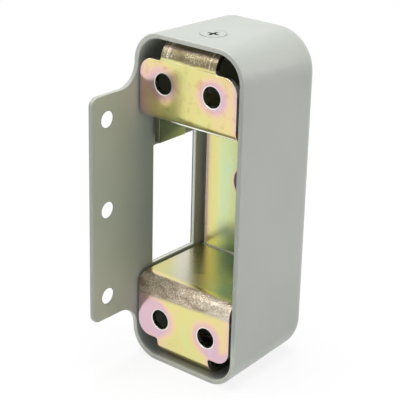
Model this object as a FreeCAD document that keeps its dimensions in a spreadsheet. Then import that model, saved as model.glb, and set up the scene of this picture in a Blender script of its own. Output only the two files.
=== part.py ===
import FreeCAD, Part
import os
import Sketcher

# Surface-mounted box strike for a rim lock.
# X runs across the box, Y runs from its open rim into its depth, Z is up.
# The origin is the middle of the four frame screw holes, in the plane of the open rim.

doc = FreeCAD.newDocument("StrikeBox")

sizes = doc.addObject("Spreadsheet::Sheet", "Sizes")
sizeRows = [
    # painted cover
    ("cover_width", 41.6),
    ("cover_height", 108),
    ("cover_depth", 37),
    ("cover_sheet", 1.6),
    ("rim_corner_radius", 9.7),
    ("back_corner_radius", 13.5),
    ("back_edge_radius", 5),
    # flange that continues the left wall
    ("flange_length", 19.9),
    ("flange_root_radius", 7.5),
    ("flange_root_clearance", 0.05),
    ("flange_corner_radius", 2.8),
    ("flange_hole_diameter", 5.3),
    ("flange_sink_diameter", 7.9),
    ("flange_hole_inset", 7.75),
    ("flange_hole_edge", 6.5),
    # window in the left wall that takes the lock's bolt
    ("window_height", 40),
    ("window_width", 20.4),
    ("window_setback", 7.6),
    ("window_drop", 4.7),
    # two plated brackets inside the cover
    ("bracket_sheet", 1.8),
    ("bracket_fit", 0.1),
    ("tab_side_clearance", 0.8),
    ("tab_hole_diameter", 6.5),
    ("tab_hole_pitch_across", 18.5),
    ("tab_hole_rise", 2.7),
    ("lobe_setback", 8),
    ("lobe_radius", 4.8),
    ("neck_overrun", 1.25),
    ("neck_root_radius", 0.8),
    ("neck_bend_radius", 6.1),
    ("neck_reach", 19),
    ("neck_end_radius", 3),
    ("shelf_bend_radius", 3.85),
    ("upper_shelf_clearance", 11.3),
    ("lower_shelf_clearance", 0.7),
    ("plate_back_clearance", 2.2),
    ("plate_side_clearance", 1.6),
    ("plate_bend_radius", 3.2),
    ("plate_gap", 0.15),
    ("plate_hole_diameter", 11.6),
    ("plate_hole_height", 0.5),
    ("ear_front", 6.1),
    ("ear_width", 12.6),
    ("ear_drop", 9.5),
    ("ear_corner_radius", 0.5),
    # countersunk screws that hold the brackets to the cover
    ("screw_setback", 11.5),
    ("screw_diameter", 4),
    ("screw_head_bite", 0.3),
    ("screw_length", 7),
    ("screw_tip_chamfer", 0.5),
    ("screw_seat_clearance", 0.1),
    ("screw_thread_clearance", 0.05),
    ("recess_length", 4.2),
    ("recess_width", 1),
    ("recess_depth", 1.3),
    # how far a cutting outline runs past the edge that it trims
    ("trim_margin", 2),
    # positions that follow from the sizes above
    ("half_width", "=cover_width / 2"),
    ("half_height", "=cover_height / 2"),
    ("inner_half_width", "=half_width - cover_sheet"),
    ("inner_half_height", "=half_height - cover_sheet"),
    ("rim_inner_radius", "=rim_corner_radius - cover_sheet"),
    ("inner_depth", "=cover_depth - cover_sheet"),
    ("corner_growth", "=(back_corner_radius - rim_corner_radius) / cover_depth"),
    ("back_inner_radius", "=rim_corner_radius + corner_growth * inner_depth - cover_sheet"),
    ("back_inner_edge_radius", "=back_edge_radius - cover_sheet"),
    ("flange_root_end", "=half_height - rim_corner_radius - flange_root_clearance"),
    ("flange_half_height", "=flange_root_end - flange_root_radius"),
    ("window_far", "=window_setback + window_width"),
    ("window_top", "=window_height / 2 - window_drop"),
    ("window_bottom", "=window_height / 2 + window_drop"),
    ("flange_hole_pitch", "=flange_half_height - flange_hole_inset"),
    ("flange_hole_run", "=flange_hole_pitch * 2"),
    ("flange_hole_setback", "=flange_length - flange_hole_edge"),
    ("half_tab", "=inner_half_width - tab_side_clearance"),
    ("tab_width", "=half_tab * 2"),
    ("corner_at_neck", "=rim_inner_radius + corner_growth * neck_reach"),
    ("half_neck", "=inner_half_width - corner_at_neck + neck_overrun"),
    ("bracket_end", "=inner_half_height - bracket_fit"),
    ("bracket_end_inner", "=bracket_end - bracket_sheet"),
    ("neck_inner_radius", "=neck_bend_radius - bracket_sheet"),
    ("shelf_inner_radius", "=shelf_bend_radius - bracket_sheet"),
    ("plate_outer_radius", "=plate_bend_radius + bracket_sheet"),
    ("upper_shelf_height", "=window_top + upper_shelf_clearance"),
    ("lower_shelf_depth", "=window_bottom + lower_shelf_clearance"),
    ("upper_shelf_top", "=upper_shelf_height + bracket_sheet"),
    ("lower_shelf_under", "=lower_shelf_depth + bracket_sheet"),
    ("plate_bottom", "=lower_shelf_depth - plate_gap"),
    ("plate_back", "=inner_depth - plate_back_clearance"),
    ("plate_setback", "=plate_back - bracket_sheet"),
    ("half_plate", "=inner_half_width - plate_side_clearance"),
    ("lobe_line", "=half_height - lobe_setback"),
    ("lobe_start", "=lobe_line - lobe_radius"),
    ("lobe_trim_start", "=lobe_start - trim_margin"),
    ("half_tab_trim", "=half_tab + trim_margin"),
    ("bracket_trim", "=half_height + trim_margin"),
    ("shelf_trim", "=upper_shelf_top + trim_margin"),
    ("plate_trim_depth", "=upper_shelf_top + plate_bottom + trim_margin * 2"),
    ("plate_trim_back", "=plate_back + trim_margin"),
    ("neck_trim", "=neck_reach + trim_margin"),
    ("half_hole_across", "=tab_hole_pitch_across / 2"),
    ("half_hole_up", "=(lobe_line + upper_shelf_height) / 2 + tab_hole_rise"),
    ("ear_bottom", "=upper_shelf_height - ear_drop"),
    ("ear_back", "=ear_front + ear_width"),
    ("screw_radius", "=screw_diameter / 2"),
    ("screw_cone_depth", "=cover_sheet + bracket_fit + screw_head_bite"),
    ("screw_head_radius", "=screw_radius + screw_cone_depth"),
    ("screw_tip_radius", "=screw_radius - screw_tip_chamfer"),
    ("screw_tip_start", "=screw_length - screw_tip_chamfer"),
    ("screw_hole_diameter", "=screw_diameter + screw_thread_clearance * 2"),
    ("seat_diameter", "=(screw_head_radius + screw_seat_clearance) * 2"),
    ("bracket_seat_diameter", "=seat_diameter - (cover_sheet + bracket_fit) * 2"),
    ("half_recess_length", "=recess_length / 2"),
    ("half_recess_width", "=recess_width / 2"),
    ("wall_cut", "=cover_sheet + trim_margin"),
    ("bracket_cut", "=bracket_sheet + trim_margin"),
]
for rowNumber, (alias, value) in enumerate(sizeRows, start=1):
    sizes.set("A%d" % rowNumber, alias)
    sizes.set("B%d" % rowNumber, str(value))
    sizes.setAlias("B%d" % rowNumber, alias)
doc.recompute()


def valueOf(name):
    # value of a size, of a size with a minus sign, or of "0"
    if name == "0":
        return 0.0
    if name.startswith("-"):
        return -float(sizes.get(name[1:]))
    return float(sizes.get(name))


def addSketch(body, name, plane, offset="0"):
    # sketch on one of the body's own planes, shifted along that plane's normal
    sketch = body.newObject("Sketcher::SketchObject", name)
    for feature in body.Origin.OriginFeatures:
        if feature.Role == plane:
            sketch.AttachmentSupport = (feature, "")
    sketch.MapMode = "FlatFace"
    if offset != "0":
        sign = "-" if offset.startswith("-") else ""
        sketch.setExpression("AttachmentOffset.Base.z", sign + "Sizes." + offset.lstrip("-"))
    return sketch


def bindLast(sketch, size):
    sketch.setExpression("Constraints[%d]" % (sketch.ConstraintCount - 1), "Sizes." + size)


def pinPoint(sketch, geometry, point, axis, name):
    # ties one coordinate of a point to a size, measured from the sketch origin
    kind = "DistanceX" if axis == 0 else "DistanceY"
    if name == "0":
        onAxis = -2 if axis == 0 else -1
        sketch.addConstraint(Sketcher.Constraint("PointOnObject", geometry, point, onAxis))
    elif name.startswith("-"):
        sketch.addConstraint(Sketcher.Constraint(kind, geometry, point, -1, 1, -valueOf(name)))
        bindLast(sketch, name[1:])
    else:
        sketch.addConstraint(Sketcher.Constraint(kind, -1, 1, geometry, point, valueOf(name)))
        bindLast(sketch, name)


def squareProfile(sketch, corners):
    # closed outline of level and upright lines; a corner is (x, y) or (x, y, bend radius)
    count = len(corners)
    points = [FreeCAD.Vector(valueOf(corner[0]), valueOf(corner[1]), 0) for corner in corners]
    radii = [corner[2] if len(corner) > 2 else None for corner in corners]
    runs = []
    for index in range(count):
        run = points[(index + 1) % count] - points[index]
        run.normalize()
        runs.append(run)
    lines = []
    for index in range(count):
        after = (index + 1) % count
        start = points[index]
        if radii[index]:
            start = start + runs[index] * valueOf(radii[index])
        end = points[after]
        if radii[after]:
            end = end - runs[index] * valueOf(radii[after])
        lines.append(sketch.addGeometry(Part.LineSegment(start, end), False))
        level = abs(runs[index].x) > abs(runs[index].y)
        sketch.addConstraint(Sketcher.Constraint("Horizontal" if level else "Vertical", lines[-1]))
    for index in range(count):
        lineIn = lines[index - 1]
        lineOut = lines[index]
        if not radii[index]:
            sketch.addConstraint(Sketcher.Constraint("Coincident", lineIn, 2, lineOut, 1))
            continue
        radius = valueOf(radii[index])
        runIn = runs[index - 1]
        runOut = runs[index]
        middle = points[index] - runIn * radius + runOut * radius
        turnsLeft = runIn.x * runOut.y - runIn.y * runOut.x > 0
        first = points[index] - runIn * radius
        last = points[index] + runOut * radius
        if not turnsLeft:
            first, last = last, first
        circle = Part.Circle(middle, FreeCAD.Vector(0, 0, 1), radius)
        startAngle = circle.parameter(first)
        endAngle = circle.parameter(last)
        arc = sketch.addGeometry(Part.ArcOfCircle(circle, startAngle, endAngle), False)
        arcIn = 1 if turnsLeft else 2
        sketch.addConstraint(Sketcher.Constraint("Tangent", lineIn, 2, arc, arcIn))
        sketch.addConstraint(Sketcher.Constraint("Tangent", arc, 3 - arcIn, lineOut, 1))
        sketch.addConstraint(Sketcher.Constraint("Radius", arc, radius))
        bindLast(sketch, radii[index])
    for index in range(count):
        level = abs(runs[index].x) > abs(runs[index].y)
        axis = 1 if level else 0
        pinPoint(sketch, lines[index], 1, axis, corners[index][axis])


def pointProfile(sketch, corners):
    # closed outline of straight lines in any direction
    count = len(corners)
    points = [FreeCAD.Vector(valueOf(corner[0]), valueOf(corner[1]), 0) for corner in corners]
    lines = []
    for index in range(count):
        segment = Part.LineSegment(points[index], points[(index + 1) % count])
        lines.append(sketch.addGeometry(segment, False))
    for index in range(count):
        sketch.addConstraint(Sketcher.Constraint("Coincident", lines[index - 1], 2, lines[index], 1))
    for index in range(count):
        pinPoint(sketch, lines[index], 1, 0, corners[index][0])
        pinPoint(sketch, lines[index], 1, 1, corners[index][1])


def addHoleCircle(sketch, x, y, diameter):
    middle = FreeCAD.Vector(valueOf(x), valueOf(y), 0)
    normal = FreeCAD.Vector(0, 0, 1)
    circle = sketch.addGeometry(Part.Circle(middle, normal, valueOf(diameter) / 2), False)
    sketch.addConstraint(Sketcher.Constraint("Diameter", circle, valueOf(diameter)))
    bindLast(sketch, diameter)
    pinPoint(sketch, circle, 3, 0, x)
    pinPoint(sketch, circle, 3, 1, y)


def addPad(body, sketch, length, name, reverse=False, middle=False):
    pad = body.newObject("PartDesign::Pad", name)
    pad.Profile = sketch
    pad.Reversed = reverse
    pad.Midplane = middle
    pad.setExpression("Length", "Sizes." + length)
    return pad


def addPocket(body, sketch, name, length=None, reverse=False, middle=False):
    # pocket of a given depth, or right through where no depth is given
    pocket = body.newObject("PartDesign::Pocket", name)
    pocket.Profile = sketch
    pocket.Reversed = reverse
    pocket.Midplane = middle
    if length:
        pocket.setExpression("Length", "Sizes." + length)
    else:
        pocket.Type = "ThroughAll"
    return pocket


def addSunkHole(body, sketch, name, diameter, sinkDiameter, depth, reverse=False):
    # countersunk hole for a flat-head screw
    hole = body.newObject("PartDesign::Hole", name)
    hole.Profile = sketch
    hole.Reversed = reverse
    hole.HoleCutType = "Countersink"
    hole.setExpression("Diameter", "Sizes." + diameter)
    hole.setExpression("HoleCutDiameter", "Sizes." + sinkDiameter)
    hole.HoleCutCountersinkAngle = 90
    hole.DepthType = "Dimension"
    hole.DrillPoint = "Flat"
    hole.setExpression("Depth", "Sizes." + depth)
    return hole


def edgesCentredOn(shape, points):
    # names of the edges whose middle is one of these points
    names = []
    for number, edge in enumerate(shape.Edges, start=1):
        if any((edge.CenterOfMass - point).Length < 0.01 for point in points):
            names.append("Edge%d" % number)
    return names


def roundEdges(body, name, base, points, radius):
    # rounds the straight edges centred on these points
    doc.recompute()
    fillet = body.newObject("PartDesign::Fillet", name)
    fillet.Base = (base, edgesCentredOn(base.Shape, points))
    fillet.setExpression("Radius", "Sizes." + radius)
    return fillet


def edgesInPlane(shape, axis, position):
    # names of the edges that lie in the plane where this coordinate has this value
    names = []
    for number, edge in enumerate(shape.Edges, start=1):
        points = edge.discretize(5)
        if all(abs(point[axis] - position) < 0.001 for point in points):
            names.append("Edge%d" % number)
    return names


# painted cover: an open box with a flange, a window and screw seats
cover = doc.addObject("PartDesign::Body", "CoverBody")
cover.Label = "cover"

rimOutline = addSketch(cover, "RimOutline", "XZ_Plane")
squareProfile(rimOutline, [
    ("-half_width", "-half_height", "rim_corner_radius"),
    ("half_width", "-half_height", "rim_corner_radius"),
    ("half_width", "half_height", "rim_corner_radius"),
    ("-half_width", "half_height", "rim_corner_radius"),
])
backOutline = addSketch(cover, "BackOutline", "XZ_Plane", "-cover_depth")
squareProfile(backOutline, [
    ("-half_width", "-half_height", "back_corner_radius"),
    ("half_width", "-half_height", "back_corner_radius"),
    ("half_width", "half_height", "back_corner_radius"),
    ("-half_width", "half_height", "back_corner_radius"),
])
# the corners open out from the rim to the back while the walls between them stay flat
boxLoft = cover.newObject("PartDesign::AdditiveLoft", "BoxLoft")
boxLoft.Profile = backOutline
boxLoft.Sections = [rimOutline]
boxLoft.Ruled = True
doc.recompute()
backRound = cover.newObject("PartDesign::Fillet", "BackRound")
backRound.Base = (boxLoft, edgesInPlane(boxLoft.Shape, 1, valueOf("cover_depth")))
backRound.setExpression("Radius", "Sizes.back_edge_radius")
doc.recompute()

innerRim = addSketch(cover, "InnerRimOutline", "XZ_Plane")
squareProfile(innerRim, [
    ("-inner_half_width", "-inner_half_height", "rim_inner_radius"),
    ("inner_half_width", "-inner_half_height", "rim_inner_radius"),
    ("inner_half_width", "inner_half_height", "rim_inner_radius"),
    ("-inner_half_width", "inner_half_height", "rim_inner_radius"),
])
innerBack = addSketch(cover, "InnerBackOutline", "XZ_Plane", "-inner_depth")
squareProfile(innerBack, [
    ("-inner_half_width", "-inner_half_height", "back_inner_radius"),
    ("inner_half_width", "-inner_half_height", "back_inner_radius"),
    ("inner_half_width", "inner_half_height", "back_inner_radius"),
    ("-inner_half_width", "inner_half_height", "back_inner_radius"),
])
hollow = cover.newObject("PartDesign::SubtractiveLoft", "Hollow")
hollow.Profile = innerBack
hollow.Sections = [innerRim]
hollow.Ruled = True
doc.recompute()
innerRound = cover.newObject("PartDesign::Fillet", "InnerRound")
innerRound.Base = (hollow, edgesInPlane(hollow.Shape, 1, valueOf("inner_depth")))
innerRound.setExpression("Radius", "Sizes.back_inner_edge_radius")
doc.recompute()

flangeOutline = addSketch(cover, "FlangeOutline", "YZ_Plane", "-half_width")
squareProfile(flangeOutline, [
    ("-flange_length", "-flange_half_height"),
    ("trim_margin", "-flange_half_height"),
    ("trim_margin", "flange_half_height"),
    ("-flange_length", "flange_half_height"),
])
flange = addPad(cover, flangeOutline, "cover_sheet", "Flange")
flangeMiddle = -valueOf("half_width") + valueOf("cover_sheet") / 2
flangeHalf = valueOf("flange_half_height")
rootPoints = [FreeCAD.Vector(flangeMiddle, 0, side * flangeHalf) for side in (-1, 1)]
flangeRoots = roundEdges(cover, "FlangeRoots", flange, rootPoints, "flange_root_radius")
cornerY = -valueOf("flange_length")
cornerPoints = [FreeCAD.Vector(flangeMiddle, cornerY, side * flangeHalf) for side in (-1, 1)]
flangeCorners = roundEdges(cover, "FlangeCorners", flangeRoots, cornerPoints, "flange_corner_radius")

windowOutline = addSketch(cover, "WindowOutline", "YZ_Plane", "-half_width")
squareProfile(windowOutline, [
    ("window_setback", "-window_bottom"),
    ("window_far", "-window_bottom"),
    ("window_far", "window_top"),
    ("window_setback", "window_top"),
])
window = addPocket(cover, windowOutline, "Window", "wall_cut", reverse=True)

# jamb screws go in from the outer face of the flange
flangeHoleSketch = addSketch(cover, "FlangeHoleSketch", "YZ_Plane", "-half_width")
addHoleCircle(flangeHoleSketch, "-flange_hole_setback", "-flange_hole_pitch", "flange_hole_diameter")
flangeHole = addSunkHole(
    cover, flangeHoleSketch, "FlangeHole", "flange_hole_diameter", "flange_sink_diameter", "wall_cut", True
)
flangeHoles = cover.newObject("PartDesign::LinearPattern", "FlangeHoles")
flangeHoles.Originals = [flangeHole]
flangeHoles.Direction = (flangeHoleSketch, ["V_Axis"])
flangeHoles.setExpression("Length", "Sizes.flange_hole_run")
flangeHoles.Occurrences = 3
cover.Tip = flangeHoles

# the seat of the screw that holds the upper bracket, then its twin for the lower one
seatSketch = addSketch(cover, "SeatSketch", "XY_Plane", "half_height")
addHoleCircle(seatSketch, "0", "screw_setback", "screw_hole_diameter")
topSeat = addSunkHole(cover, seatSketch, "TopSeat", "screw_hole_diameter", "seat_diameter", "wall_cut")
seats = cover.newObject("PartDesign::Mirrored", "Seats")
seats.Originals = [topSeat]
for feature in cover.Origin.OriginFeatures:
    if feature.Role == "XY_Plane":
        seats.MirrorPlane = (feature, [""])
cover.Tip = seats
doc.recompute()


# plated brackets
def flipped(name, lower):
    # the same height above or below the middle of the box
    if not lower:
        return name
    return name[1:] if name.startswith("-") else "-" + name


def trimToLobes(body, base, lower):
    # narrows the sheet beyond the lobes of the tab to the neck
    outline = addSketch(body, base + "NeckTrimOutline", "XZ_Plane")
    for sign in ("", "-"):
        squareProfile(outline, [
            (sign + "half_neck", flipped("lobe_line", lower), "neck_root_radius"),
            (sign + "half_tab", flipped("lobe_line", lower), "lobe_radius"),
            (sign + "half_tab", flipped("lobe_trim_start", lower)),
            (sign + "half_tab_trim", flipped("lobe_trim_start", lower)),
            (sign + "half_tab_trim", flipped("bracket_trim", lower)),
            (sign + "half_neck", flipped("bracket_trim", lower)),
        ])
    return addPocket(body, outline, base + "NeckTrim", "neck_trim")


def drillTab(body, base, lower):
    # the two holes for the frame screws
    outline = addSketch(body, base + "TabHoleSketch", "XZ_Plane")
    for sign in ("-", ""):
        across = sign + "half_hole_across"
        addHoleCircle(outline, across, flipped("half_hole_up", lower), "tab_hole_diameter")
    return addPocket(body, outline, base + "TabHoles", "bracket_cut")


def drillNeck(body, base, lower):
    # the tapped hole that the cover screw is driven into, drawn at the screw's size
    outline = addSketch(body, base + "NeckHoleSketch", "XY_Plane", flipped("bracket_end", lower))
    addHoleCircle(outline, "0", "screw_setback", "screw_hole_diameter")
    return addSunkHole(
        body, outline, base + "NeckHole", "screw_hole_diameter", "bracket_seat_diameter", "bracket_cut", lower
    )


def roundNeckEnd(body, base, last, lower):
    side = -1 if lower else 1
    middle = side * (valueOf("bracket_end") - valueOf("bracket_sheet") / 2)
    reach = valueOf("neck_reach")
    half = valueOf("half_neck")
    points = [FreeCAD.Vector(across * half, reach, middle) for across in (-1, 1)]
    return roundEdges(body, base + "NeckEnd", last, points, "neck_end_radius")


# one strip: neck under the cover's top, tab in the rim, shelf over the bolt, plate behind it
upperBracket = doc.addObject("PartDesign::Body", "UpperBracketBody")
upperBracket.Label = "upper_bracket"
upperSide = addSketch(upperBracket, "UpperSideOutline", "YZ_Plane")
squareProfile(upperSide, [
    ("neck_reach", "bracket_end"),
    ("0", "bracket_end", "neck_bend_radius"),
    ("0", "upper_shelf_height", "shelf_bend_radius"),
    ("plate_setback", "upper_shelf_height", "plate_bend_radius"),
    ("plate_setback", "-plate_bottom"),
    ("plate_back", "-plate_bottom"),
    ("plate_back", "upper_shelf_top", "plate_outer_radius"),
    ("bracket_sheet", "upper_shelf_top", "shelf_inner_radius"),
    ("bracket_sheet", "bracket_end_inner", "neck_inner_radius"),
    ("neck_reach", "bracket_end_inner"),
])
addPad(upperBracket, upperSide, "tab_width", "UpperStrip", middle=True)
trimToLobes(upperBracket, "Upper", False)
plateTrimOutline = addSketch(upperBracket, "PlateTrimOutline", "XY_Plane", "shelf_trim")
for sign in ("", "-"):
    squareProfile(plateTrimOutline, [
        (sign + "half_plate", "shelf_bend_radius", "neck_root_radius"),
        (sign + "half_tab_trim", "shelf_bend_radius"),
        (sign + "half_tab_trim", "plate_trim_back"),
        (sign + "half_plate", "plate_trim_back"),
    ])
addPocket(upperBracket, plateTrimOutline, "PlateTrim", "plate_trim_depth")
earOutline = addSketch(upperBracket, "EarOutline", "YZ_Plane", "-half_plate")
squareProfile(earOutline, [
    ("ear_front", "ear_bottom", "ear_corner_radius"),
    ("ear_back", "ear_bottom", "ear_corner_radius"),
    ("ear_back", "upper_shelf_top"),
    ("ear_front", "upper_shelf_top"),
])
addPad(upperBracket, earOutline, "bracket_sheet", "Ear")
drillTab(upperBracket, "Upper", False)
plateHoleSketch = addSketch(upperBracket, "PlateHoleSketch", "XZ_Plane", "-plate_setback")
addHoleCircle(plateHoleSketch, "0", "plate_hole_height", "plate_hole_diameter")
addPocket(upperBracket, plateHoleSketch, "PlateHole", "bracket_cut")
upperNeckHole = drillNeck(upperBracket, "Upper", False)
roundNeckEnd(upperBracket, "Upper", upperNeckHole, False)
doc.recompute()

# the second strip: neck on the cover's bottom, tab in the rim, shelf under the bolt
lowerBracket = doc.addObject("PartDesign::Body", "LowerBracketBody")
lowerBracket.Label = "lower_bracket"
lowerSide = addSketch(lowerBracket, "LowerSideOutline", "YZ_Plane")
squareProfile(lowerSide, [
    ("neck_reach", "-bracket_end"),
    ("0", "-bracket_end", "neck_bend_radius"),
    ("0", "-lower_shelf_depth", "shelf_bend_radius"),
    ("plate_back", "-lower_shelf_depth"),
    ("plate_back", "-lower_shelf_under"),
    ("bracket_sheet", "-lower_shelf_under", "shelf_inner_radius"),
    ("bracket_sheet", "-bracket_end_inner", "neck_inner_radius"),
    ("neck_reach", "-bracket_end_inner"),
])
addPad(lowerBracket, lowerSide, "tab_width", "LowerStrip", middle=True)
trimToLobes(lowerBracket, "Lower", True)
drillTab(lowerBracket, "Lower", True)
lowerNeckHole = drillNeck(lowerBracket, "Lower", True)
roundNeckEnd(lowerBracket, "Lower", lowerNeckHole, True)
doc.recompute()


# cover screws
def addScrew(base, label):
    # flat-head screw with a cross recess; its head is flush with the XY plane
    body = doc.addObject("PartDesign::Body", base + "Body")
    body.Label = label
    section = addSketch(body, base + "Section", "XZ_Plane")
    pointProfile(section, [
        ("0", "0"),
        ("screw_head_radius", "0"),
        ("screw_radius", "-screw_cone_depth"),
        ("screw_radius", "-screw_tip_start"),
        ("screw_tip_radius", "-screw_length"),
        ("0", "-screw_length"),
    ])
    turned = body.newObject("PartDesign::Revolution", base + "Turned")
    turned.Profile = section
    turned.ReferenceAxis = (section, ["V_Axis"])
    turned.Angle = 360
    recess = addSketch(body, base + "Recess", "XY_Plane")
    squareProfile(recess, [
        ("half_recess_width", "-half_recess_length"),
        ("half_recess_width", "-half_recess_width"),
        ("half_recess_length", "-half_recess_width"),
        ("half_recess_length", "half_recess_width"),
        ("half_recess_width", "half_recess_width"),
        ("half_recess_width", "half_recess_length"),
        ("-half_recess_width", "half_recess_length"),
        ("-half_recess_width", "half_recess_width"),
        ("-half_recess_length", "half_recess_width"),
        ("-half_recess_length", "-half_recess_width"),
        ("-half_recess_width", "-half_recess_width"),
        ("-half_recess_width", "-half_recess_length"),
    ])
    addPocket(body, recess, base + "RecessCut", "recess_depth")
    body.setExpression("Placement.Base.y", "Sizes.screw_setback")
    return body


topScrew = addScrew("TopScrew", "top_screw")
topScrew.setExpression("Placement.Base.z", "Sizes.half_height")
bottomScrew = addScrew("BottomScrew", "bottom_screw")
bottomScrew.Placement = FreeCAD.Placement(
    FreeCAD.Vector(0, valueOf("screw_setback"), -valueOf("half_height")),
    FreeCAD.Rotation(FreeCAD.Vector(1, 0, 0), 180)
)
bottomScrew.setExpression("Placement.Base.z", "-Sizes.half_height")
doc.recompute()


# check each feature, then write each piece
for item in doc.Objects:
    if "Invalid" in item.State or "Error" in item.State:
        raise RuntimeError("%s did not build: %s" % (item.Name, item.State))
os.makedirs("parts", exist_ok=True)
for body in (cover, upperBracket, lowerBracket, topScrew, bottomScrew):
    shape = body.Shape
    if shape.isNull() or not shape.isValid() or len(shape.Solids) != 1:
        raise RuntimeError("%s is not one sound solid" % body.Label)
    shape.exportStep("parts/%s.step" % body.Label)
    box = shape.BoundBox
    print("%s %.2f cm3, %.1f x %.1f x %.1f mm" % (
        body.Label, shape.Volume / 1000, box.XLength, box.YLength, box.ZLength
    ))
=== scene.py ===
import math
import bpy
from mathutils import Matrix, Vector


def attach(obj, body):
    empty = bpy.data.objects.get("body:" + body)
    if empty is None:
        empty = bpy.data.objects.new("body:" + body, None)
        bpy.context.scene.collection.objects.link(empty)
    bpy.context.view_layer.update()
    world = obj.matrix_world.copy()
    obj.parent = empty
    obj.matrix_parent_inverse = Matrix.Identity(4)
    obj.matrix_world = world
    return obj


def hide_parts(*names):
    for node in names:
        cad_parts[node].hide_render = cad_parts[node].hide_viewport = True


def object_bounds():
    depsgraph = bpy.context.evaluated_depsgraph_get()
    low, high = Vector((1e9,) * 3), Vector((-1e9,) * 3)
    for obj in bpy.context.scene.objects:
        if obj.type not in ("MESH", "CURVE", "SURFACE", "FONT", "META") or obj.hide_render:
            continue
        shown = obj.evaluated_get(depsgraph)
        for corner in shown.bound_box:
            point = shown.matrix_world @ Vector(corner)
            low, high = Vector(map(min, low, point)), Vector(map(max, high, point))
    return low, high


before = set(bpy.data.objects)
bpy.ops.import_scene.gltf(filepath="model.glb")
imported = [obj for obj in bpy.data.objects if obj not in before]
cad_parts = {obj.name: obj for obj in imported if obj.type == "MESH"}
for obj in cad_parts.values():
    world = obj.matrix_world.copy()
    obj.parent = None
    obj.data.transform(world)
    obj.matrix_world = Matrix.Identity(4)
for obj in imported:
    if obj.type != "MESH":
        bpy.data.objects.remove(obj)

from types import SimpleNamespace

import bmesh
import bpy
from mathutils import Matrix, Vector

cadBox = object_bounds()
mm = 0.001


def inMm(start, end):
    return (start * mm, end * mm)


# small helpers for the node trees

def newMaterial(name):
    material = bpy.data.materials.new(name)
    material.use_nodes = True
    material.node_tree.nodes.clear()
    return material, material.node_tree


def addNode(tree, kind, **settings):
    node = tree.nodes.new(kind)
    for key, value in settings.items():
        setattr(node, key, value)
    return node


def plug(tree, socket, value):
    # a value is either another node's output or a plain number or colour
    if isinstance(value, bpy.types.NodeSocket):
        tree.links.new(value, socket)
    else:
        socket.default_value = value


def calc(tree, operation, first, second=0.0, clamp=False):
    node = addNode(tree, "ShaderNodeMath", operation=operation, use_clamp=clamp)
    plug(tree, node.inputs[0], first)
    plug(tree, node.inputs[1], second)
    return node.outputs[0]


def add(tree, first, second):
    return calc(tree, "ADD", first, second)


def take(tree, first, second):
    return calc(tree, "SUBTRACT", first, second)


def highest(tree, first, second):
    return calc(tree, "MAXIMUM", first, second)


def absolute(tree, value):
    return calc(tree, "ABSOLUTE", value)


def times(tree, first, *others):
    for other in others:
        first = calc(tree, "MULTIPLY", first, other)
    return first


def fade(tree, value, ends, low=0.0, high=1.0):
    # goes smoothly from low to high while value goes from the first end to the second
    node = addNode(tree, "ShaderNodeMapRange", interpolation_type="SMOOTHSTEP")
    plug(tree, node.inputs["Value"], value)
    plug(tree, node.inputs["From Min"], ends[0])
    plug(tree, node.inputs["From Max"], ends[1])
    plug(tree, node.inputs["To Min"], low)
    plug(tree, node.inputs["To Max"], high)
    return node.outputs["Result"]


def where(tree, *limits):
    # a limit is a value and its ends: 1 where all of them are past, 0 before any one of them
    return times(tree, *[fade(tree, value, ends) for value, ends in limits])


def noise(tree, place, scale, detail, stretch=None):
    if stretch:
        mapping = addNode(tree, "ShaderNodeMapping")
        plug(tree, mapping.inputs["Vector"], place)
        mapping.inputs["Scale"].default_value = stretch
        place = mapping.outputs["Vector"]
    node = addNode(tree, "ShaderNodeTexNoise")
    plug(tree, node.inputs["Vector"], place)
    node.inputs["Scale"].default_value = scale
    node.inputs["Detail"].default_value = detail
    return node.outputs["Fac"]


def mixColor(tree, amount, first, second, blend="MIX"):
    node = addNode(tree, "ShaderNodeMix", data_type="RGBA", blend_type=blend)
    plug(tree, node.inputs["Factor"], amount)
    for socket, value in zip([s for s in node.inputs if s.type == "RGBA"], (first, second)):
        plug(tree, socket, value)
    return [output for output in node.outputs if output.type == "RGBA"][0]


def colorRamp(tree, value, stops):
    node = addNode(tree, "ShaderNodeValToRGB")
    plug(tree, node.inputs["Fac"], value)
    ramp = node.color_ramp
    while len(ramp.elements) < len(stops):
        ramp.elements.new(1.0)
    for element, (position, color) in zip(ramp.elements, stops):
        element.position = position
        element.color = tuple(color) + (1.0,)
    return node.outputs["Color"]


def bump(tree, height, strength, distance):
    node = addNode(tree, "ShaderNodeBump")
    plug(tree, node.inputs["Height"], height)
    plug(tree, node.inputs["Strength"], strength)
    node.inputs["Distance"].default_value = distance
    return node.outputs["Normal"]


def split(tree, vector):
    node = addNode(tree, "ShaderNodeSeparateXYZ")
    plug(tree, node.inputs[0], vector)
    return node.outputs


def fromAxis(tree, first, second):
    # distance from the axis that both numbers are measured from
    return calc(tree, "SQRT", add(tree, times(tree, first, first), times(tree, second, second)))


def wobbled(tree, value, clouds, reach):
    # a border drawn along value wanders by up to half of reach
    return add(tree, value, times(tree, take(tree, clouds, 0.5), reach))


def surfaceSpot(tree):
    # where a point of the surface lies on the part, and which way it faces
    coords = addNode(tree, "ShaderNodeTexCoord")
    place = coords.outputs["Object"]
    x, y, z = split(tree, place)
    facingX, facingY, facingZ = split(tree, coords.outputs["Normal"])
    return SimpleNamespace(
        place=place, x=x, y=y, z=z, facingX=facingX, facingY=facingY, facingZ=facingZ
    )


def finishMaterial(tree, shader):
    output = addNode(tree, "ShaderNodeOutputMaterial")
    tree.links.new(shader.outputs["BSDF"], output.inputs["Surface"])


# grey satin paint of the cover and of its screws
# two numbers say where a tone starts and where it is full, and a noise has its scale and its detail

# painted shade in the ring round each screw head and in the head's recess
recessShade = {
    "color": (0.035, 0.034, 0.030, 1.0),
    "screwSetback": 11.5 * mm,
    "seatRadius": inMm(4.45, 4.35),
    "height": inMm(53.86, 53.76),
}


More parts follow.
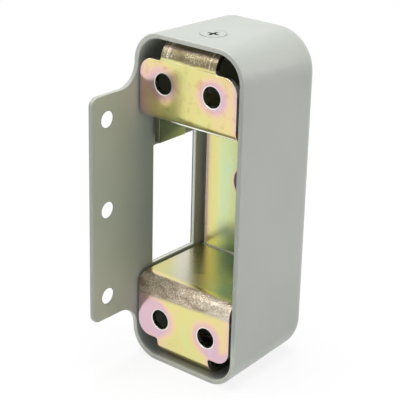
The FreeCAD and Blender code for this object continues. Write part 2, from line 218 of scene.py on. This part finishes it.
def addRecessShade(tree, spot, color, onScrew):
    # painted shade: a near-black colour sits in the ring round each screw head and in the head's recess,
    # where shade falls
    sunk = fade(tree, absolute(tree, spot.z), recessShade["height"])
    if not onScrew:
        fromScrew = fromAxis(tree, spot.x, take(tree, spot.y, recessShade["screwSetback"]))
        sunk = times(tree, sunk, fade(tree, fromScrew, recessShade["seatRadius"]))
    return mixColor(tree, sunk, color, recessShade["color"])


# painted warm light on the flange's inner face
flangeWarmLight = {
    "tint": (0.99, 0.985, 0.85, 1.0),
    "across": inMm(-18.8, -19.1),
    "facing": (0.2, 0.6),
    "depth": inMm(4, -6),
}


def paintFlangeWarmLight(tree, spot, color):
    # painted warm light: the flange's inner face is tinted a little warmer than the box, for light thrown
    # back onto it from the yellow plating
    onFlange = where(
        tree,
        (spot.x, flangeWarmLight["across"]),
        (spot.facingX, flangeWarmLight["facing"]),
        (spot.y, flangeWarmLight["depth"]),
    )
    return mixColor(tree, onFlange, color, flangeWarmLight["tint"], "MULTIPLY")


# painted highlight on the window's cut edge, and a thin dark line beside it
windowCut = {
    "highlightColor": (0.84, 0.86, 0.80, 1.0),
    "lineColor": (0.04, 0.042, 0.038, 1.0),
    "sheetMiddle": -20.0 * mm,
    "bottom": inMm(-25.6, -25.5),
    "top": inMm(16.2, 16.1),
    "front": inMm(7.0, 7.1),
    "back": inMm(28.5, 28.4),
    "turned": (0.9, 0.7),
    "face": inMm(-0.75, -0.65),
    "lineInner": inMm(0.22, 0.3),
    "lineOuter": inMm(0.62, 0.54),
}


def paintWindowCutHighlight(tree, spot, color):
    # painted highlight: the window's cut edge is painted paler, with a thin dark line near its outer side
    onCut = where(
        tree,
        (spot.z, windowCut["bottom"]),
        (spot.z, windowCut["top"]),
        (spot.y, windowCut["front"]),
        (spot.y, windowCut["back"]),
        (absolute(tree, spot.facingX), windowCut["turned"]),
    )
    outward = take(tree, windowCut["sheetMiddle"], spot.x)
    inFace = fade(tree, outward, windowCut["face"])
    inLine = where(tree, (outward, windowCut["lineInner"]), (outward, windowCut["lineOuter"]))
    color = mixColor(tree, times(tree, onCut, inFace), color, windowCut["highlightColor"])
    return mixColor(tree, times(tree, onCut, inLine), color, windowCut["lineColor"])


# painted highlight on the sheet's front edge
rimHighlight = {
    "color": (0.60, 0.62, 0.55, 1.0),
    "depth": inMm(1.4, 0.9),
    "facing": (-0.1, -0.5),
    "topCorner": inMm(38, 48),
    "rightToLeft": inMm(19, 10),
    "rightShare": 0.35,
    "bottomCorner": inMm(-32, -42),
}


def paintRimHighlight(tree, spot, color):
    # painted highlight: the sheet's front edge is painted paler round the top left corner and along the
    # bottom, where more light falls on it
    front = where(tree, (spot.y, rimHighlight["depth"]), (spot.facingY, rimHighlight["facing"]))
    leftward = fade(tree, spot.x, rimHighlight["rightToLeft"], rimHighlight["rightShare"], 1.0)
    topLeft = times(tree, fade(tree, spot.z, rimHighlight["topCorner"]), leftward)
    corners = highest(tree, topLeft, fade(tree, spot.z, rimHighlight["bottomCorner"]))
    return mixColor(tree, times(tree, front, corners), color, rimHighlight["color"])


paint = {
    "color": (0.428, 0.452, 0.415, 1.0),
    "shade": (0.405, 0.428, 0.390, 1.0),
    "patches": (35, 3),
    "patchEnds": (0.35, 0.75),
    "specks": (2200, 2),
    "speckEnds": (0.62, 0.8),
    "speckAmount": 0.12,
    "roughEnds": (0.3, 0.7),
    "roughness": (0.32, 0.40),
    "peel": (1100, 2),
    "peelStrength": 0.35,
    "peelDepth": 0.02 * mm,
}


def makePaint(name, onScrew):
    material, tree = newMaterial(name)
    spot = surfaceSpot(tree)
    patches = noise(tree, spot.place, *paint["patches"])
    specks = noise(tree, spot.place, *paint["specks"])
    color = mixColor(tree, fade(tree, patches, paint["patchEnds"]), paint["color"], paint["shade"])
    speckled = fade(tree, specks, paint["speckEnds"], 0.0, paint["speckAmount"])
    color = mixColor(tree, speckled, color, paint["shade"])
    color = addRecessShade(tree, spot, color, onScrew)
    if not onScrew:
        color = paintFlangeWarmLight(tree, spot, color)
        color = paintWindowCutHighlight(tree, spot, color)
        color = paintRimHighlight(tree, spot, color)
    shader = addNode(tree, "ShaderNodeBsdfPrincipled")
    plug(tree, shader.inputs["Base Color"], color)
    plug(tree, shader.inputs["Roughness"], fade(tree, patches, paint["roughEnds"], *paint["roughness"]))
    peel = noise(tree, spot.place, *paint["peel"])
    plug(tree, shader.inputs["Normal"], bump(tree, peel, paint["peelStrength"], paint["peelDepth"]))
    finishMaterial(tree, shader)
    return material


# yellow-plated sheet of the brackets
# a film value of 0 is pale green, and it goes up through yellow, peach and pink to bare silver at 1

tabs = {
    "holeAcross": 9.25 * mm,
    "holeUp": 39.0 * mm,
    "holeRadius": 3.25 * mm,
    "wobble": 4.0 * mm,
    "film": 0.2,
    "cloudEnds": (0.3, 0.7),
    "cloudAmount": 0.16,
    "halo": inMm(4.4, 0.5),
    "haloAmount": 0.42,
    "sides": inMm(8, 19),
    "sideAmount": 0.2,
    "verge": inMm(16.4, 18.2),
    "vergeAmount": 0.16,
    "lobeTop": inMm(-30, -34),
    "leftLobe": inMm(-5.5, -11),
    "foot": inMm(-40, -44),
    "rightLobe": inMm(5, 12),
    "lobeAmount": 0.36,
    "highUp": inMm(26, 30),
    "farLeft": inMm(-12, -17),
    "upperLeftAmount": 0.14,
    "pinkest": 0.84,
    "bareRingAndHighlight": inMm(0.5, 0.3),
    "ringHeight": inMm(30, 32),
    "cutDepth": inMm(2.2, 1.9),
    "cutHeight": inMm(30, 31),
    "cutTurned": (0.85, 0.7),
    "stain": (0.72, 0.55, 0.45, 1.0),
    "blots": (300, 3),
    "blotEnds": (0.5, 0.72),
    "stainDepth": inMm(6, 4),
    "stainHeight": inMm(20, 24),
    "stainAmount": 0.4,
}


def tabFilm(tree, spot, clouds):
    # pink rings round the holes, peach towards the sides, and the lower left lobe all pink; a thin
    # near-silver ring at each hole's edge is partly bare metal and partly a painted highlight
    besideHole = take(tree, absolute(tree, spot.x), tabs["holeAcross"])
    aboveHole = take(tree, absolute(tree, spot.z), tabs["holeUp"])
    fromHole = take(tree, fromAxis(tree, besideHole, aboveHole), tabs["holeRadius"])
    halo = fade(tree, wobbled(tree, fromHole, clouds, tabs["wobble"]), tabs["halo"])
    outward = wobbled(tree, absolute(tree, spot.x), clouds, tabs["wobble"])
    sides = fade(tree, outward, tabs["sides"], 0.0, tabs["sideAmount"])
    verge = fade(tree, absolute(tree, spot.x), tabs["verge"], 0.0, tabs["vergeAmount"])
    across = wobbled(tree, spot.x, clouds, tabs["wobble"])
    upward = wobbled(tree, spot.z, clouds, tabs["wobble"])
    leftLobe = where(tree, (spot.z, tabs["lobeTop"]), (across, tabs["leftLobe"]))
    rightLobe = where(tree, (upward, tabs["foot"]), (across, tabs["rightLobe"]))
    lobes = highest(tree, leftLobe, rightLobe)
    upperLeft = where(tree, (spot.z, tabs["highUp"]), (spot.x, tabs["farLeft"]))
    film = add(tree, tabs["film"], fade(tree, clouds, tabs["cloudEnds"], 0.0, tabs["cloudAmount"]))
    film = add(tree, film, add(tree, sides, verge))
    film = add(tree, film, times(tree, halo, tabs["haloAmount"]))
    film = add(tree, film, times(tree, upperLeft, tabs["upperLeftAmount"]))
    film = add(tree, film, times(tree, lobes, tabs["lobeAmount"]))
    film = calc(tree, "MINIMUM", film, tabs["pinkest"])
    # bare metal and painted highlight: a thin near-silver ring at each hole's edge
    ring = where(tree, (fromHole, tabs["bareRingAndHighlight"]), (absolute(tree, spot.z), tabs["ringHeight"]))
    return highest(tree, film, ring)


def stainUpperTab(tree, spot, color):
    blots = fade(tree, noise(tree, spot.place, *tabs["blots"]), tabs["blotEnds"])
    onTab = where(tree, (spot.y, tabs["stainDepth"]), (spot.z, tabs["stainHeight"]))
    return mixColor(tree, times(tree, blots, onTab, tabs["stainAmount"]), color, tabs["stain"], "MULTIPLY")


plate = {
    "surface": inMm(30.9, 31.3),
    "halfWidth": 17.6 * mm,
    "holeUp": 0.5 * mm,
    "holeRadius": 5.8 * mm,
    "wobble": 3.0 * mm,
    "warmSide": inMm(8.0, 1.5),
    "warmFilm": (0.04, 0.34),
    "pinkEdge": inMm(1.8, 0.1),
    "pinkAmount": 0.34,
    "cloudEnds": (0.35, 0.7),
    "cloudAmount": 0.08,
    "holeRing": inMm(1.1, 0.1),
    "ringFilm": 0.8,
    # painted olive shade on the plate's foot
    "oliveHeight": inMm(-13, -20),
    "oliveAcross": inMm(-14, -6),
    "oliveAmount": 0.85,
    "aboveSeam": inMm(-25.6, -25.5),
    "lowerCut": inMm(-24.7, -24.9),
    "leftCut": inMm(-16.0, -17.2),
    "leftColor": (1.0, 0.78, 0.70, 1.0),
    "seamColor": (0.92, 0.93, 0.86, 1.0),
}

# painted reflection along the shelf's middle and painted olive shade on its right
shelf = {
    "surface": inMm(-24, -25),
    "back": inMm(31.3, 30.9),
    "front": inMm(3.5, 6),
    "filmAcross": inMm(2, 10),
    "film": (0.25, 0.1),
    "dull": (0.82, 0.82, 0.88, 1.0),
    "pale": (0.68, 0.65, 0.66, 1.0),
    "paleAcross": inMm(7, 1),
    "paleAmount": 0.6,
    "slant": 0.833,
    "paintedOliveShade": (0.28, 0.35, 0.52, 1.0),
    "oliveAcross": inMm(7, 17),
    "oliveFront": inMm(0, 3),
    "oliveAmount": 0.8,
}


def innerFilm(tree, spot, clouds):
    # the plate is pink along its left edge, then yellow, then green; the shelf is yellow
    inward = add(tree, spot.x, plate["halfWidth"])
    aboveHole = take(tree, spot.z, plate["holeUp"])
    fromHole = take(tree, fromAxis(tree, spot.x, aboveHole), plate["holeRadius"])
    film = fade(tree, wobbled(tree, inward, clouds, plate["wobble"]), plate["warmSide"], *plate["warmFilm"])
    film = add(tree, film, fade(tree, inward, plate["pinkEdge"], 0.0, plate["pinkAmount"]))
    film = add(tree, film, fade(tree, clouds, plate["cloudEnds"], 0.0, plate["cloudAmount"]))
    film = highest(tree, film, fade(tree, fromHole, plate["holeRing"], 0.0, plate["ringFilm"]))
    across = wobbled(tree, spot.x, clouds, plate["wobble"])
    shelfFilm = fade(tree, across, shelf["filmAcross"], *shelf["film"])
    onPlate = fade(tree, spot.y, plate["surface"])
    offPlate = take(tree, 1.0, onPlate)
    return add(tree, times(tree, film, onPlate), times(tree, shelfFilm, offPlate))


def paintShelfShadeAndReflection(tree, spot, color):
    # the shelf is darkened a little, with a painted reflection along a slanting band in its middle, and
    # painted olive shade on its right and on the plate's foot
    slanted = add(tree, spot.x, times(tree, spot.y, shelf["slant"]))
    level = where(tree, (spot.z, shelf["surface"]), (spot.y, shelf["back"]))
    onShelf = times(tree, level, fade(tree, spot.y, shelf["front"]))
    # painted reflection: a paler band along the shelf's middle
    pale = times(tree, onShelf, fade(tree, absolute(tree, slanted), shelf["paleAcross"]))
    color = mixColor(tree, onShelf, color, shelf["dull"], "MULTIPLY")
    color = mixColor(tree, times(tree, pale, shelf["paleAmount"]), color, shelf["pale"])
    # painted shade: olive on the shelf's right and on the plate's foot
    right = where(tree, (slanted, shelf["oliveAcross"]), (spot.y, shelf["oliveFront"]))
    right = times(tree, right, level, shelf["oliveAmount"])
    low = where(
        tree,
        (spot.z, plate["oliveHeight"]),
        (spot.x, plate["oliveAcross"]),
        (spot.y, plate["surface"]),
    )
    low = times(tree, low, plate["oliveAmount"])
    return mixColor(tree, highest(tree, right, low), color, shelf["paintedOliveShade"], "MULTIPLY")


def mattePlateCuts(tree, spot, color):
    # the plate's cut edges are matte: a pink left one and a silvery lower one
    onPlate = where(tree, (spot.y, plate["surface"]), (spot.z, plate["aboveSeam"]))
    lowerCut = times(tree, onPlate, fade(tree, spot.z, plate["lowerCut"]))
    leftCut = times(tree, onPlate, fade(tree, spot.x, plate["leftCut"]))
    color = mixColor(tree, leftCut, color, plate["leftColor"])
    color = mixColor(tree, lowerCut, color, plate["seamColor"])
    return color, highest(tree, lowerCut, leftCut)


# painted shade on the fold beside the window
ear = {
    "inner": inMm(-15, -15.6),
    "back": inMm(22, 21),
    "front": inMm(5, 5.5),
    "foot": inMm(14, 15),
    "slant": -0.25,
    "darkening": inMm(13.8, 18),
    "frontCut": inMm(6.9, 6.4),
    "light": (0.68, 0.67, 0.50, 1.0),
    "dark": (0.32, 0.34, 0.32, 1.0),
    "cutShade": (0.24, 0.25, 0.18, 1.0),
}


def paintEarShade(tree, spot, color):
    # painted shade: the fold that hangs beside the window is painted dark towards its top and on its front
    # edge
    onEar = where(
        tree,
        (spot.x, ear["inner"]),
        (spot.y, ear["back"]),
        (spot.z, ear["foot"]),
        (spot.y, ear["front"]),
    )
    upward = add(tree, spot.z, times(tree, spot.y, ear["slant"]))
    earColor = mixColor(tree, fade(tree, upward, ear["darkening"]), ear["light"], ear["dark"])
    earColor = mixColor(tree, fade(tree, spot.y, ear["frontCut"]), earColor, ear["cutShade"])
    return mixColor(tree, onEar, color, earColor)


# painted shade and painted highlight streaks on the neck's bend
neckBend = {
    "paintedOliveShade": (0.24, 0.24, 0.13, 1.0),
    "oliveAmount": 0.85,
    "height": inMm(44, 46),
    "streaks": (900, 2, (1.0, 0.05, 0.05)),
    "streakEnds": (0.42, 0.58),
    "streakInner": inMm(5.6, 7.4),
    "streakOuter": inMm(9.8, 8.6),
}


def paintedNeckShade(tree, spot):
    # painted shade and highlights: the neck's bend is darkened olive, apart from streaks towards its two
    # sides, which are left light as painted highlights
    fromMiddle = absolute(tree, spot.x)
    sides = where(tree, (fromMiddle, neckBend["streakInner"]), (fromMiddle, neckBend["streakOuter"]))
    streaks = fade(tree, noise(tree, spot.place, *neckBend["streaks"]), neckBend["streakEnds"])
    offStreaks = take(tree, 1.0, times(tree, sides, streaks))
    return times(tree, fade(tree, spot.z, neckBend["height"]), offStreaks)


bends = {
    "color": (0.58, 0.47, 0.38, 1.0),
    "dark": (0.24, 0.18, 0.14, 1.0),
    "spark": (0.86, 0.80, 0.70, 1.0),
    "wornAmount": 0.88,
    "roughening": 0.07,
    "scuff": (420, 3, (0.5, 1.0, 1.0)),
    "scuffEnds": (0.28, 0.66),
    "grain": (2600, 3),
    "raggedness": 1.6 * mm,
    "neckHeight": inMm(46.6, 47.4),
    "neckDepth": inMm(8, 6.5),
    "lowTop": inMm(-24, -24.5),
    "lowFoot": inMm(-32.0, -30.6),
    "lowTilt": -0.05,
    "lowFacing": (0.9995, 0.97),
    "lowDepth": inMm(7.5, 6.5),
    "pitEnds": (0.46, 0.36),
    "pitAmount": 0.75,
    "sparkEnds": (0.53, 0.6),
    "sparkScuff": (0.3, 0.6),
    "sparkAmount": 0.8,
    "sparkOnOlive": 0.35,
    "shineAcross": inMm(4, 15),
    "shineHeight": inMm(0, -20),
    "shineAmount": 0.4,
}


def wearAndPaintedLightOnBends(tree, spot, color):
    # the neck's bend and the lower shelf's bend are roughened where the film cracked; the neck's bend also
    # takes painted olive shade, and the lower bend a painted highlight towards its right end
    scuff = noise(tree, spot.place, *bends["scuff"])
    grain = noise(tree, spot.place, *bends["grain"])
    ragged = wobbled(tree, spot.z, scuff, bends["raggedness"])
    tilted = add(tree, ragged, times(tree, spot.x, bends["lowTilt"]))
    onNeck = where(tree, (ragged, bends["neckHeight"]), (spot.y, bends["neckDepth"]))
    onLow = where(
        tree,
        (spot.z, bends["lowTop"]),
        (tilted, bends["lowFoot"]),
        (spot.facingZ, bends["lowFacing"]),
        (spot.y, bends["lowDepth"]),
    )
    worn = highest(tree, onNeck, onLow)
    paintedOliveShade = paintedNeckShade(tree, spot)
    oliveShare = times(tree, paintedOliveShade, neckBend["oliveAmount"])
    # painted highlight: the lower bend is lightened towards its right end
    shine = where(tree, (spot.x, bends["shineAcross"]), (spot.z, bends["shineHeight"]))
    wornColor = mixColor(tree, fade(tree, scuff, bends["scuffEnds"]), bends["dark"], bends["color"])
    wornColor = mixColor(tree, oliveShare, wornColor, neckBend["paintedOliveShade"], "MULTIPLY")
    wornColor = mixColor(tree, times(tree, shine, bends["shineAmount"]), wornColor, bends["spark"])
    color = mixColor(tree, times(tree, worn, bends["wornAmount"]), color, wornColor)
    pits = times(tree, worn, fade(tree, grain, bends["pitEnds"]), bends["pitAmount"])
    color = mixColor(tree, pits, color, bends["dark"])
    sparks = where(tree, (grain, bends["sparkEnds"]), (scuff, bends["sparkScuff"]))
    sparkShare = fade(tree, paintedOliveShade, (0.0, 1.0), 1.0, bends["sparkOnOlive"])
    sparks = times(tree, sparks, worn, sparkShare, bends["sparkAmount"])
    color = mixColor(tree, sparks, color, bends["spark"])
    return color, worn, grain


# painted reflection on the underside of the upper shelf's bend
bendFloorReflection = {
    "color": (0.94, 0.98, 0.90, 1.0),
    "facing": (-0.55, -0.8),
    "height": inMm(25, 26),
    "depth": inMm(4, 3.4),
}


def paintBendFloorReflection(tree, spot, color):
    # painted reflection: the underside of the upper shelf's bend is painted near white for the floor
    # mirrored in it
    under = where(
        tree,
        (spot.facingZ, bendFloorReflection["facing"]),
        (spot.z, bendFloorReflection["height"]),
        (spot.y, bendFloorReflection["depth"]),
    )
    return mixColor(tree, under, color, bendFloorReflection["color"])


plating = {
    "film": [
        (0.00, (0.60, 0.74, 0.48)),
        (0.14, (0.71, 0.77, 0.36)),
        (0.28, (0.79, 0.73, 0.29)),
        (0.45, (0.85, 0.69, 0.34)),
        (0.58, (0.86, 0.63, 0.44)),
        (0.72, (0.81, 0.53, 0.52)),
        (0.86, (0.72, 0.51, 0.61)),
        (1.00, (0.90, 0.90, 0.86)),
    ],
    "behindTabs": inMm(3.5, 6),
    "clouds": (60, 2),
    "streaks": (160, 2, (1.0, 1.0, 0.12)),
    "streakEnds": (0.35, 0.7),
    "streakShift": (-0.02, 0.04),
    "roughness": (0.18, 0.26),  # on the tabs, and behind them
    "roughClouds": (0.4, 0.8),
    "cloudRoughness": 0.04,
    "cloudHeight": 0.1,
    "bumpStrength": 0.9,
    "bumpDepth": 0.14 * mm,
}


def filmColor(tree, spot, clouds, behind):
    film = addNode(tree, "ShaderNodeMix", data_type="FLOAT")
    plug(tree, film.inputs["Factor"], behind)
    plug(tree, film.inputs[2], tabFilm(tree, spot, clouds))
    plug(tree, film.inputs[3], innerFilm(tree, spot, clouds))
    streaks = noise(tree, spot.place, *plating["streaks"])
    film = add(tree, film.outputs[0], fade(tree, streaks, plating["streakEnds"], *plating["streakShift"]))
    bareCut = where(
        tree,
        (spot.y, tabs["cutDepth"]),
        (absolute(tree, spot.z), tabs["cutHeight"]),
        (absolute(tree, spot.facingY), tabs["cutTurned"]),
    )
    return colorRamp(tree, highest(tree, film, bareCut), plating["film"])


def makePlating():
    material, tree = newMaterial("yellowPlating")
    spot = surfaceSpot(tree)
    clouds = noise(tree, spot.place, *plating["clouds"])
    behind = fade(tree, spot.y, plating["behindTabs"])
    color = filmColor(tree, spot, clouds, behind)
    color = paintShelfShadeAndReflection(tree, spot, color)
    color = stainUpperTab(tree, spot, color)
    color = paintEarShade(tree, spot, color)
    color, worn, grain = wearAndPaintedLightOnBends(tree, spot, color)
    color = paintBendFloorReflection(tree, spot, color)
    color, matte = mattePlateCuts(tree, spot, color)

    shader = addNode(tree, "ShaderNodeBsdfPrincipled")
    plug(tree, shader.inputs["Base Color"], color)
    plug(tree, shader.inputs["Metallic"], take(tree, 1.0, matte))
    rough = fade(tree, behind, (0.0, 1.0), *plating["roughness"])
    rough = add(tree, rough, times(tree, worn, bends["roughening"]))
    rough = add(tree, rough, fade(tree, clouds, plating["roughClouds"], 0.0, plating["cloudRoughness"]))
    plug(tree, shader.inputs["Roughness"], rough)
    height = add(tree, times(tree, grain, worn), times(tree, clouds, plating["cloudHeight"]))
    plug(tree, shader.inputs["Normal"], bump(tree, height, plating["bumpStrength"], plating["bumpDepth"]))
    finishMaterial(tree, shader)
    return material


# each piece is a copy of its CAD node with its sharp edges softened

soften = {
    "sharpFrom": 35,  # degrees between two faces
    "steps": 2,
    "faceWeight": 100,
    "flatWithin": 0.1,  # degrees between faces that are joined into one
    "weldWithin": 0.0005 * mm,
}


def softenedCopy(nodeName, material, edgeWidth):
    shape = bmesh.new()
    shape.from_mesh(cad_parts[nodeName].data)
    bmesh.ops.remove_doubles(shape, verts=shape.verts, dist=soften["weldWithin"])
    bmesh.ops.dissolve_limit(
        shape, angle_limit=math.radians(soften["flatWithin"]), verts=shape.verts, edges=shape.edges
    )
    points = [vertex.co.copy() for vertex in shape.verts]
    shape.verts.index_update()
    faces = [[vertex.index for vertex in face.verts] for face in shape.faces]
    shape.free()
    mesh = bpy.data.meshes.new(nodeName + "Soft")
    mesh.from_pydata(points, [], faces)
    mesh.polygons.foreach_set("use_smooth", [True] * len(mesh.polygons))
    mesh.materials.append(material)
    piece = bpy.data.objects.new(nodeName + "Soft", mesh)
    bpy.context.scene.collection.objects.link(piece)
    edges = piece.modifiers.new("softEdges", "BEVEL")
    edges.limit_method = "ANGLE"
    edges.angle_limit = math.radians(soften["sharpFrom"])
    edges.width = edgeWidth
    edges.segments = soften["steps"]
    edges.use_clamp_overlap = False
    even = piece.modifiers.new("evenShading", "WEIGHTED_NORMAL")
    even.mode = "FACE_AREA"
    even.weight = soften["faceWeight"]
    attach(piece, "root")
    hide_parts(nodeName)


coverPaint = makePaint("satinGreyPaint", False)
screwPaint = makePaint("screwPaint", True)
bracketPlating = makePlating()
print("paint and plating mixed")

# material, slot and width of the softened edges
finishes = {
    "cover": (coverPaint, "paint", 0.35 * mm),
    "top_screw": (screwPaint, "screw", 0.16 * mm),
    "bottom_screw": (screwPaint, "screw", 0.16 * mm),
    "upper_bracket": (bracketPlating, "zinc", 0.16 * mm),
    "lower_bracket": (bracketPlating, "zinc", 0.16 * mm),
}
for nodeName, (material, slotName, edgeWidth) in finishes.items():
    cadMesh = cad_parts[nodeName].data
    cadMesh.materials.clear()
    cadMesh.materials.append(material)
    softenedCopy(nodeName, material, edgeWidth)
print("finishes on", len(finishes), "pieces")


# floor, air and lamps

studio = {
    "floorSize": 6.0,
    "floorColor": (0.82, 0.82, 0.81, 1.0),
    "floorPatch": (0.70, 0.70, 0.70, 1.0),
    "patches": (30, 2),
    "patchEnds": (0.3, 0.7),
    "patchAmount": 0.05,
    "nearWhite": 0.86,
    "farWhite": 0.99,
    "whitening": (0.5, 1.5),  # metres from the part
    "seenShadow": 0.12,
    "airColor": (1.0, 1.0, 1.0, 1.0),
    "airLevel": 0.168,
    # place in metres, width in metres, power in watts
    "lamps": {
        "topLamp": ((0.0, 0.05, 1.4), 0.9, 21.2),
        "frontLamp": ((-0.5, -0.7, 1.0), 0.7, 2.7),
        "leftLamp": ((-1.25, -0.3, 0.9), 0.6, 3.6),
        "rightLamp": ((1.3, 0.2, 0.35), 0.6, 2.8),
        "backLamp": ((0.9, 0.9, 0.5), 0.7, 2.4),
    },
}


def seenRay(tree):
    # 1 for what the camera sees, straight or mirrored in metal
    path = addNode(tree, "ShaderNodeLightPath")
    seen = calc(tree, "ADD", path.outputs["Is Camera Ray"], path.outputs["Is Glossy Ray"], True)
    return calc(tree, "ADD", seen, path.outputs["Is Transmission Ray"], True)


def makeFloor():
    # it lights the part as a plain pale floor, but is seen as near white with only the part's shadow
    material, tree = newMaterial("paleFloor")
    place = addNode(tree, "ShaderNodeTexCoord").outputs["Object"]
    plain = addNode(tree, "ShaderNodeBsdfDiffuse")
    patches = noise(tree, place, *studio["patches"])
    patches = fade(tree, patches, studio["patchEnds"], 0.0, studio["patchAmount"])
    plug(tree, plain.inputs["Color"], mixColor(tree, patches, studio["floorColor"], studio["floorPatch"]))
    glow = addNode(tree, "ShaderNodeEmission")
    floorX, floorY = split(tree, place)[:2]
    away = fromAxis(tree, floorX, floorY)
    white = fade(tree, away, studio["whitening"], studio["nearWhite"], studio["farWhite"])
    plug(tree, glow.inputs["Strength"], white)
    shadow = addNode(tree, "ShaderNodeBsdfDiffuse")
    shadow.inputs["Color"].default_value = (studio["seenShadow"],) * 3 + (1.0,)
    both = addNode(tree, "ShaderNodeAddShader")
    tree.links.new(glow.outputs[0], both.inputs[0])
    tree.links.new(shadow.outputs[0], both.inputs[1])
    choose = addNode(tree, "ShaderNodeMixShader")
    plug(tree, choose.inputs[0], seenRay(tree))
    tree.links.new(plain.outputs[0], choose.inputs[1])
    tree.links.new(both.outputs[0], choose.inputs[2])
    output = addNode(tree, "ShaderNodeOutputMaterial")
    tree.links.new(choose.outputs[0], output.inputs["Surface"])
    half = studio["floorSize"] / 2
    level = cadBox[0][2]
    corners = [(-half, -half, level), (half, -half, level), (half, half, level), (-half, half, level)]
    mesh = bpy.data.meshes.new("floor")
    mesh.from_pydata(corners, [], [(0, 1, 2, 3)])
    mesh.materials.append(material)
    floor = bpy.data.objects.new("floor", mesh)
    bpy.context.scene.collection.objects.link(floor)


def makeWorld():
    world = bpy.data.worlds.new("studioAir")
    world.use_nodes = True
    tree = world.node_tree
    tree.nodes.clear()
    back = addNode(tree, "ShaderNodeBackground")
    back.inputs["Color"].default_value = studio["airColor"]
    plug(tree, back.inputs["Strength"], fade(tree, seenRay(tree), (0.0, 1.0), studio["airLevel"], 1.0))
    output = addNode(tree, "ShaderNodeOutputWorld")
    tree.links.new(back.outputs[0], output.inputs["Surface"])
    bpy.context.scene.world = world


def addLamp(name, place, width, power):
    light = bpy.data.lights.new(name, "AREA")
    light.size = width
    light.energy = power
    lamp = bpy.data.objects.new(name, light)
    lamp.location = place
    lamp.rotation_euler = (-Vector(place)).to_track_quat("-Z", "Y").to_euler()
    bpy.context.scene.collection.objects.link(lamp)


view = {
    "place": (0.24303, -0.29047, 0.16017),
    "aim": (-0.00387, 0.01200, -0.00004),
    "roll": 1.40,  # degrees
    "lens": 122.43,
    "sensor": 36.0,
    "nearest": 0.01,
}


def makeCamera():
    data = bpy.data.cameras.new("productCamera")
    data.sensor_width = view["sensor"]
    data.lens = view["lens"]
    data.clip_start = view["nearest"]
    camera = bpy.data.objects.new("productCamera", data)
    place = Vector(view["place"])
    turn = (Vector(view["aim"]) - place).to_track_quat("-Z", "Y").to_matrix()
    turn = turn @ Matrix.Rotation(math.radians(view["roll"]), 3, "Z")
    camera.matrix_world = Matrix.Translation(place) @ turn.to_4x4()
    bpy.context.scene.collection.objects.link(camera)
    bpy.context.scene.camera = camera


makeFloor()
makeWorld()
for lampName, (place, width, power) in studio["lamps"].items():
    addLamp(lampName, place, width, power)
makeCamera()
bpy.context.scene.view_settings.view_transform = "Standard"
print("studio ready")
